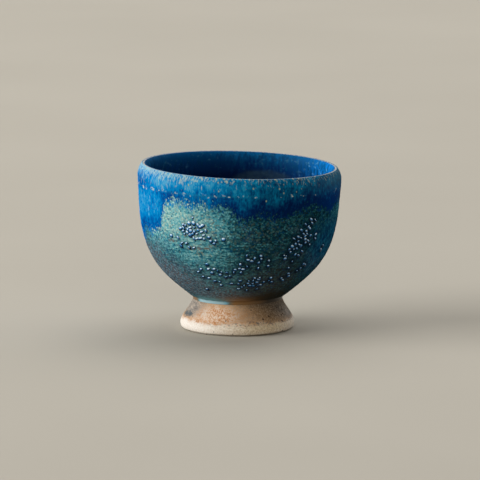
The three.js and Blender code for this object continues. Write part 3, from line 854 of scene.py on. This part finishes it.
# %% Outside finish
def running_blue_glaze():
    """Copper-blue alkaline glaze: satin and thick where it ran, dry and sandy where it is thin."""
    material, tree, shader, place, masks = start_material("running_blue_glaze", GLAZE_MASKS, ior=1.5,
                                                          specular_ior_level=0.0)
    noise, grain = glaze_patterns(tree, place)
    dry = dry_coat(tree, masks, noise, grain)
    blue = blue_coat(tree, place, masks, noise)

    # the curtain's ragged edge joins the two
    edge = masks["run_mm"]
    for pattern, weight in ((grain["Blue"], 2.2), (noise["cloud"], 6.0), (noise["hair"], 11.0)):
        edge = add_node(tree, "ShaderNodeMath", {0: pattern, 1: weight, 2: edge}, operation="MULTIPLY_ADD")
    covered = add_node(tree, "ShaderNodeMapRange", {"Value": edge, "From Min": 0.5, "From Max": 1.7})
    skin = add_node(tree, "ShaderNodeMix", {"Factor": covered, "A": dry, "B": blue}, data_type="RGBA")
    tree.links.new(skin, shader.inputs["Base Color"])
    gloss = add_node(tree, "ShaderNodeMapRange", {"Value": covered, "To Min": 0.65, "To Max": 0.5})
    tree.links.new(gloss, shader.inputs["Roughness"])
    relief = add_node(tree, "ShaderNodeMath", {0: noise["lines"], 1: grain["Edge"]}, operation="SUBTRACT")
    bump = add_node(tree, "ShaderNodeBump", {"Height": relief, "Strength": 0.5, "Distance": 0.08 * MM})
    tree.links.new(bump, shader.inputs["Normal"])
    return material


RUNNING_GLAZE = running_blue_glaze()
print("running blue glaze:", len(RUNNING_GLAZE.node_tree.nodes), "nodes")

# %% Outside glaze
OUTSIDE_COAT = 0.48
RIM_COAT = 0.48
WALL_STEPS = 190
OUTER_LIP_STEPS = 16
BARE_STEPS = 5  # at the neck, where the coat ends over the roll
PLAIN_STEPS = 3  # points above that, which take no finger marks

skin = outside_clay(WALL_STEPS, OUTER_LIP_STEPS, CREST - LIP_BREAK)[BARE_STEPS:]
coat = np.full(len(skin), OUTSIDE_COAT)
coat[-OUTER_LIP_STEPS:] = np.linspace(OUTSIDE_COAT, CREST_COAT, OUTER_LIP_STEPS)
skin = offset(skin, coat)
back = offset(outside_clay(24, 4, CREST - LIP_BREAK)[1:], UNDER_COAT)[::-1]
outside_line = np.vstack((skin, back))
outside_worked = np.zeros(len(outside_line))
outside_worked[PLAIN_STEPS:len(skin)] = 1
outside_worked[len(skin) - OUTER_LIP_STEPS:len(skin)] = np.linspace(1, 0, OUTER_LIP_STEPS)
outside_glaze = throw("running_glaze", outside_line, outside_worked, True, RUNNING_GLAZE, steps=384,
                      ring_depth=0.22, ring_spacing=1.3, ring_length=45, wobble_depth=0.3, wobble_size=16)
print("outside glaze thrown from", len(outside_line), "points")

# %% The blue coat, thickened
CURTAIN_FADE = 5.0  # how far above its edge the blue coat is full
CREST_FADE = (0.2, 2.0)  # depths under the crest between which it comes in
WALL_SHARE = 0.25  # of its thickness on the wall
LIP_SHARE = 0.55  # and what the mouth adds, with how far that fades
LIP_FADE = 4.2
at = read(outside_glaze)
showing = np.empty(len(at))
outside_glaze.data.attributes["worked"].data.foreach_get("value", showing)
normals = np.empty(at.size)
outside_glaze.data.vertex_normals.foreach_get("vector", normals)
above = at[:, 2] - curtain_at(turn_of(at))
lip_mm = CUP_HEIGHT - at[:, 2]
swell = WALL_SHARE + LIP_SHARE * np.exp(-((at[:, 2] - MOUTH[1]) / LIP_FADE) ** 2)
thick = np.clip(above / CURTAIN_FADE, 0, 1) * np.interp(lip_mm, CREST_FADE, (0, 1)) * swell
at += normals.reshape(-1, 3) * (showing * RIM_COAT * thick)[:, None]
write(outside_glaze, at)
print("outside glaze reaches", np.hypot(at[:, 0], at[:, 1]).max().round(2), "mm from the axis")

# %% [markdown]
# ## Beads of glaze
# Drops of glaze that never melted flat stand on the wall as small dark domes, in trails and clusters. They
# repeat by the dozen on a curved surface, so a second node tree makes them: it drops loose points onto the
# wall, turns a squashed ball to the wall's normal at each, and draws its size from a seed.

# %% Trails of beads
# Both ends of each trail in degrees and height, the number of beads, and how far they stray
BEAD_TRAILS = [
    ((-31, 41.2), (-19, 41.5), 4, 0.6), ((-37, 40.3), (-21, 40.4), 9, 0.7),
    ((-36, 39), (-21, 39.2), 9, 0.7), ((-34, 37.7), (-19, 37.8), 8, 0.7),
    ((-28, 36.4), (-23, 36.2), 3, 0.6), ((-27, 43.4), (-27, 43.4), 1, 0.1),
    ((-46, 36.2), (-35, 35.9), 2, 0.2), ((-37, 34.7), (-28, 33.3), 6, 0.8),
    ((-20, 35.6), (-14, 35.2), 4, 0.8), ((-9, 36.5), (-8, 36.5), 1, 0.1),
    ((46, 40.2), (41, 37.2), 14, 1.6), ((49, 37), (36, 34.2), 13, 1.6),
    ((35, 34.4), (30, 29), 8, 1.3), ((43, 33), (36, 27), 7, 1.7), ((64, 31.4), (61, 29.8), 3, 0.4),
    ((1, 28.8), (20, 28.3), 11, 1.4), ((1, 27), (5, 23), 5, 1.2), ((-27, 25.6), (-4, 23), 14, 1.6),
    ((-28, 20.6), (-8, 19.6), 6, 1.0), ((-28, 16.8), (-27, 16.7), 1, 0.1), ((0, 19.4), (15, 19), 15, 1.9),
    ((14, 19), (36, 20.9), 7, 1.2), ((36, 21), (52, 26), 6, 1.0), ((118, 36), (134, 31), 11, 1.6),
    ((176, 34), (194, 29), 13, 1.9), ((238, 29), (262, 26), 10, 1.3), ((205, 40), (216, 36), 9, 1.5),
    ((3, 18.4), (16, 20.6), 7, 1.2), ((-36, 39.7), (-20, 39.9), 8, 1.1), ((-32, 38.4), (-18, 38.4), 6, 1.0),
]
BEAD_SEED = 11
BEAD_LIFT = 0.4  # loose points start this far off the wall
BEAD_STRAY = 0.75  # spread of the beads, as a share of a trail's stray
BEAD_GAP = (0.85, 1.6)  # least and greatest room round a bead
BEAD_TRIES = 6


def bead_places():
    """Places along the trails. A bead too near an earlier one is tried again, and in the end left out."""
    random = np.random.default_rng(BEAD_SEED)
    wall_radius, wall_height = skin[:WALL_STEPS].T
    places = []
    for start, end, count, stray in BEAD_TRAILS:
        for share in np.repeat((np.arange(count) + 0.5) / count, BEAD_TRIES).reshape(count, -1):
            aside, climb = random.normal(0, BEAD_STRAY * stray, (2, BEAD_TRIES))
            height = np.interp(share, (0, 1), (start[1], end[1])) + climb
            radius = np.interp(height, wall_height, wall_radius) + BEAD_LIFT
            turn = np.radians(np.interp(share, (0, 1), (start[0], end[0]))) + aside / radius
            tried = np.column_stack((radius * np.sin(turn), -radius * np.cos(turn), height))
            gap = random.uniform(*BEAD_GAP)
            clear = [place for place in tried
                     if all(np.linalg.norm(place - other) > gap for other in places)]
            places.extend(clear[:1])
    return np.array(places)


beads_at = bead_places()
print(len(beads_at), "beads")

# %% Rings, shade and sand on the outside
POOL_AND_SHADE_RADIUS = 1.05  # radius of the dark ring round each bead: pooled glaze with painted shade
RING_HEIGHT = 51.6  # of the faint line of dots under the lip
LIGHT_SIDE = -100  # degrees: the middle of the lit side; away from it, shade is painted on the curtain's edge and the lip
LIGHT_SPREAD = 80
POOLED = 0.68  # how much darker the pooled edge is, and how far up that fades
POOL_FADE = 4.5

near_bead = KDTree(len(beads_at))
for index, bead in enumerate(beads_at):
    near_bead.insert(bead, index)
near_bead.balance()
bead_gap = np.array([near_bead.find(point)[2] for point in at])
around = np.radians(turn_of(at))
over_ring = at[:, 2] - (RING_HEIGHT + 0.25 * np.sin(2 * around + 1) + 0.15 * np.sin(5 * around))
shade_side = 1 - np.exp(-(((turn_of(at) - LIGHT_SIDE + 180) % 360 - 180) / LIGHT_SPREAD) ** 4)
# the pooled edge is darker, and darker still away from the lit side: painted shade
pooled_with_shade = POOLED * np.exp(-((above - 1) / POOL_FADE) ** 2) * (0.35 + 0.65 * shade_side)
sandy = spots(at, (0.74, -42, 45, 34, 13), (0.28, -24, 31, 18, 7), (0.34, -14, 20, 24, 9),
              (0.12, -62, 32, 20, 8), (0.2, -14, 40, 11, 7), (0.4, 160, 28, 40, 9), (0.1, -80, 28, 18, 9),
              (0.1, -56, 38, 10, 6), (0.14, -27, 39, 11, 4), (0.32, 84, 43.5, 17, 4.5), most=0.8)
print("sand covers", round(100 * (sandy > 0.3).mean()), "% of the outside")

# %% Outside glaze, painted
paint(
    outside_glaze,
    run_mm=above,
    # the pale lip is pulled back away from the lit side: painted shade
    lip_mm=lip_mm + 3.0 * shade_side,
    sand=0.155 + sandy,
    grain=0.95 + 0.25 * sandy + spots(at, (-0.3, -62, 30, 25, 9), (0.25, 14, 38, 22, 8)),
    ruled=0.3 + spots(at, (1.2, -6, 32, 50, 5.5)),
    ochre=spots(at, (1.0, 4, 37, 32, 11), (1.0, 14, 18, 34, 6), most=1),
    smoke=spots(at, (1.0, -52, 19, 32, 8), (0.8, -12, 14, 24, 4), (0.2, 60, 27, 16, 8),
                (0.6, -82, 27, 20, 8), (0.3, -62, 31, 16, 5), most=1),
    iron=spots(at, (1.1, 38, 12, 40, 4.5), (0.3, 42, 24, 25, 9), (0.12, 14, 27, 32, 9), most=0.9),
    toast=spots(at, (1.2, -2, 11, 20, 2.4), (0.1, 12, 19, 30, 6), most=0.9),
    rust=spots(at, (0.9, -43, 34.7, 5, 0.9), (0.7, -28, 32.7, 6, 1.1), (0.65, -18, 33.4, 6, 1.3), most=1),
    pool=spots(at, (0.9, -36, 11.6, 24, 1.5)),
    veil=spots(at, (0.9, 72, 35, 20, 8), (0.5, 58, 28, 14, 8), most=0.9),
    # round each bead: darker pooled glaze, and painted shade that the bead casts
    halo=np.clip(1.3 * np.exp(-(bead_gap / POOL_AND_SHADE_RADIUS) ** 2), 0, 0.9) * (1 - 0.9 * sandy),
    blue=0.62 - pooled_with_shade + spots(
        at, (0.38, -28, 53, 32, 6), (-0.06, 8, 50, 22, 6), (-0.3, 62, 49, 14, 8), (-0.17, -68, 39.5, 10, 3),
        (-0.35, -45, 50.4, 10, 2), (0.18, -72, 45, 16, 5), (-0.3, -73, 53, 16, 2.6)),
    azure=spots(at, (1.3, -85, 46, 60, 30), (0.3, -20, 53, 18, 6), (0.5, 75, 45, 25, 20), most=1),
    # a greyer lip at the right, and below it a painted sheen on the right edge of the wall
    dull=spots(at, (0.6, 74, 56, 24, 4), (0.3, 88, 49, 12, 6)),
    # painted highlight: pale streaks on the left side, towards the window
    spark=spots(at, (1.1, -63, 45.5, 17, 6)),
    groove=np.exp(-(over_ring / 0.4) ** 2) * spots(at, (0.3, -18, RING_HEIGHT, 28, 9)),
    ring=np.exp(-(over_ring / 0.9) ** 4)
    * (0.6 + spots(at, (0.35, -62, RING_HEIGHT, 30, 9), (0.25, -12, RING_HEIGHT, 24, 9))),
)
settle(outside_glaze, ["outside_glaze", "rim_glaze"])

# %% The bead tree
HIGHLIGHT_SIDE = ((0.8, 0.8, 0.8), (0, 0, 0.6))  # so far out and so far up is where a bead's highlight is painted


def bead_tree():
    """A squashed ball on each loose point, set on the wall; a share places its painted highlight up and out.
    """
    tree, given, keys = start_tree("beading", {
        "Loose Points": "Geometry", "Wall": "Object", "Bead Radius": "Float", "Size Spread": "Float",
        "Rise": "Float", "Seed": "Int", "Finish": "Material"})
    wall = add_node(tree, "GeometryNodeObjectInfo", {"Object": given["Wall"]}).node.outputs["Geometry"]
    touch = add_node(tree, "GeometryNodeProximity", {0: wall}, target_element="FACES")
    landed = add_node(tree, "GeometryNodeSetPosition",
                      {"Geometry": given["Loose Points"], "Position": touch})
    normal = add_node(tree, "GeometryNodeInputNormal")
    facing = add_node(tree, "GeometryNodeSampleNearestSurface", {"Mesh": wall, "Value": normal},
                      data_type="FLOAT_VECTOR")
    turned = add_node(tree, "FunctionNodeAlignRotationToVector", {"Vector": facing}, axis="Z")
    ball = add_node(tree, "GeometryNodeMeshIcoSphere", {"Radius": given["Bead Radius"], "Subdivisions": 2})
    flat = add_node(tree, "ShaderNodeCombineXYZ", {"X": 1.0, "Y": 1.0, "Z": given["Rise"]})
    dome = add_node(tree, "GeometryNodeTransform", {"Geometry": ball, "Scale": flat})
    smallest = add_node(tree, "ShaderNodeMath", {0: 1.0, 1: given["Size Spread"]}, operation="SUBTRACT")
    largest = add_node(tree, "ShaderNodeMath", {0: 1.0, 1: given["Size Spread"]}, operation="ADD")
    size = add_node(tree, "FunctionNodeRandomValue",
                    {"Min": smallest, "Max": largest, "Seed": given["Seed"]}, data_type="FLOAT_VECTOR")
    own = add_node(tree, "GeometryNodeInputNamedAttribute", {"Name": "size"}, data_type="FLOAT")
    sized = add_node(tree, "ShaderNodeVectorMath", {0: size, "Scale": own}, operation="SCALE")
    set_down = add_node(tree, "GeometryNodeInstanceOnPoints",
                        {"Points": landed, "Instance": dome, "Rotation": turned, "Scale": sized})
    real = add_node(tree, "GeometryNodeRealizeInstances", {"Geometry": set_down})
    smooth = add_node(tree, "GeometryNodeSetShadeSmooth", {"Geometry": real})
    place = add_node(tree, "GeometryNodeInputPosition")
    level = add_node(tree, "ShaderNodeVectorMath", {0: place, 1: (1, 1, 0)}, operation="MULTIPLY")
    outwards = add_node(tree, "ShaderNodeVectorMath", {0: level}, operation="NORMALIZE")
    upwards = add_node(tree, "ShaderNodeVectorMath", {0: outwards, 1: HIGHLIGHT_SIDE[0], 2: HIGHLIGHT_SIDE[1]},
                       operation="MULTIPLY_ADD")
    # how far the skin faces up and out: where the painted highlight goes
    cap = add_node(tree, "ShaderNodeVectorMath", {0: normal, 1: upwards}, operation="DOT_PRODUCT")
    highlighted = add_node(tree, "GeometryNodeStoreNamedAttribute",
                      {"Geometry": smooth, "Name": "cap", "Value": cap}, data_type="FLOAT", domain="POINT")
    finished = add_node(tree, "GeometryNodeSetMaterial", {"Geometry": highlighted, "Material": given["Finish"]})
    add_node(tree, "NodeGroupOutput", {"Form": finished})
    return tree, keys


BEADING, BEADING_KEYS = bead_tree()
print("bead tree:", len(BEADING.nodes), "nodes")


# %% Bead finish
def bead_glaze():
    """A drop of thick blue glaze: glassy, with a painted highlight on top and painted shade, near black,
    below.
    """
    material, tree, shader, place, masks = start_material("bead_glaze", ("cap",), roughness=0.15, ior=1.5,
                                                          specular_ior_level=0.2)
    drops = add_node(tree, "ShaderNodeMapping", {"Vector": place, "Scale": per_mm(1.5)})
    drop = add_node(tree, "ShaderNodeTexNoise", {"Vector": drops, "Scale": 1.0, "Detail": 1.0})
    uneven = add_node(tree, "ShaderNodeMath", {0: drop, 1: 0.4, 2: masks["cap"]}, operation="MULTIPLY_ADD")
    highlight_share = add_node(tree, "ShaderNodeMapRange", {"Value": uneven, "From Min": 0.68, "From Max": 1.18})
    # the ramp runs from painted shade, near black, through blue to a painted highlight, near white
    tone = add_node(tree, "ShaderNodeValToRGB", {"Fac": highlight_share},
                    stops=[(0.0, "#04263f"), (0.38, "#14629f"), (0.63, "#5ba8e6"), (0.86, "#e0f4ff")])
    tree.links.new(tone, shader.inputs["Base Color"])
    return material


BEAD_GLAZE = bead_glaze()
print("bead glaze:", len(BEAD_GLAZE.node_tree.nodes), "nodes")

# %% Beads
BEAD_RADIUS = 0.63
BEAD_SPREAD = 0.45  # sizes run this far to each side of 1
BEAD_RISE = 0.62  # height of a bead, as a share of its radius
bead_size = 1 + spots(beads_at, (0.22, -30, 38, 16, 6))
points = beads_at.copy()
lean_points(points)
loose = bpy.data.meshes.new("glaze_beads")
loose.from_pydata(points * MM, [], [])
glaze_beads = bpy.data.objects.new("glaze_beads", loose)
bpy.context.scene.collection.objects.link(glaze_beads)
paint(glaze_beads, size=bead_size)
apply_tree(glaze_beads, BEADING, BEADING_KEYS, {
    "Wall": outside_glaze, "Bead Radius": BEAD_RADIUS * MM, "Size Spread": BEAD_SPREAD,
    "Rise": BEAD_RISE, "Seed": BEAD_SEED, "Finish": BEAD_GLAZE})
hand_over(glaze_beads, [])

# %% [markdown]
# ## Roll of glaze at the neck
# Glaze that ran to the neck gathered in the corner over the foot and set there as a roll: pale turquoise
# where it is thick, brown where it is thin, smoked on the right, and darker in its upper half. A band of
# colour on the foot could stand in for it, but it is glass and catches the light, so it is a small closed
# line of its own, thrown like the rest.

# %% Roll finish
def gathered_glaze():
    """Thick glassy glaze in a corner: glossy turquoise, fading to brown where little gathered."""
    material, tree, shader, place, masks = start_material(
        "gathered_glaze", ("full", "smoke", "top"), roughness=0.35, ior=1.5, specular_ior_level=0.25)
    full, smoke, top = masks.values()
    cloudy = add_node(tree, "ShaderNodeMapping", {"Vector": place, "Scale": per_mm(2.0, 0.8)})
    cloud = add_node(tree, "ShaderNodeTexNoise", {"Vector": cloudy, "Scale": 1.0, "Detail": 3.0})
    filled = add_node(tree, "ShaderNodeMath", {0: cloud, 1: 0.4, 2: full}, operation="MULTIPLY_ADD")
    blurred = add_node(tree, "ShaderNodeMath", {0: cloud, 1: 0.9, 2: top}, operation="MULTIPLY_ADD")
    dark = add_node(tree, "ShaderNodeMapRange",
                    {"Value": blurred, "From Min": 0.9, "From Max": 1.25, "To Max": 0.9})
    tone = add_node(tree, "ShaderNodeValToRGB", {"Fac": filled},
                    stops=[(0.2, "#9a7244"), (0.45, "#6f7568"), (0.75, "#82c0d6"), (1.0, "#a6cedb")])
    deep = "#8a6238"
    for factor, cover in ((smoke, "#241d15"), (full, "#4d8b9e")):
        deep = add_node(tree, "ShaderNodeMix", {"Factor": factor, "A": deep, "B": cover}, data_type="RGBA")
    for factor, cover in ((smoke, "#3a3026"), (dark, deep)):
        tone = add_node(tree, "ShaderNodeMix", {"Factor": factor, "A": tone, "B": cover}, data_type="RGBA")
    tree.links.new(tone, shader.inputs["Base Color"])
    return material


GATHERED_GLAZE = gathered_glaze()
print("gathered glaze:", len(GATHERED_GLAZE.node_tree.nodes), "nodes")

# %% Roll
ROLL_REACH = 1.0  # up the wall and down the foot
ROLL_PULL = 0.62
ROLL_CROSS = 0.3  # how far each end of its hollow line is drawn towards the other
ROLL_SEAT = 0.1  # off the corner
ROLL_DARK = (10.9, 12.0)  # heights between which its upper half goes dark
corner = np.array((NECK[0], SLIP_TOP))
hollow = bezier(corner + FOOT_SLOPE * ROLL_REACH,
                corner + ROLL_PULL * ROLL_REACH * (FOOT_SLOPE + ROLL_CROSS * WALL_SLOPE),
                corner + ROLL_PULL * ROLL_REACH * (WALL_SLOPE + ROLL_CROSS * FOOT_SLOPE),
                corner + WALL_SLOPE * ROLL_REACH, 14)
roll_line = np.vstack((hollow, [corner + ROLL_SEAT * (WALL_SLOPE + FOOT_SLOPE)]))
glaze_roll = throw("neck_roll", roll_line, np.zeros(len(roll_line)), True, GATHERED_GLAZE, steps=320)
at = read(glaze_roll)
paint(
    glaze_roll,
    full=np.clip(spots(at, (1.8, -36, 11, 24, 9)) - 0.3, 0, 1),
    smoke=spots(at, (1.3, 62, 11, 40, 9), (0.6, -85, 11, 20, 9), most=1),
    top=np.interp(at[:, 2], ROLL_DARK, (0, 1)),
)
settle(glaze_roll, ["glaze_roll"])
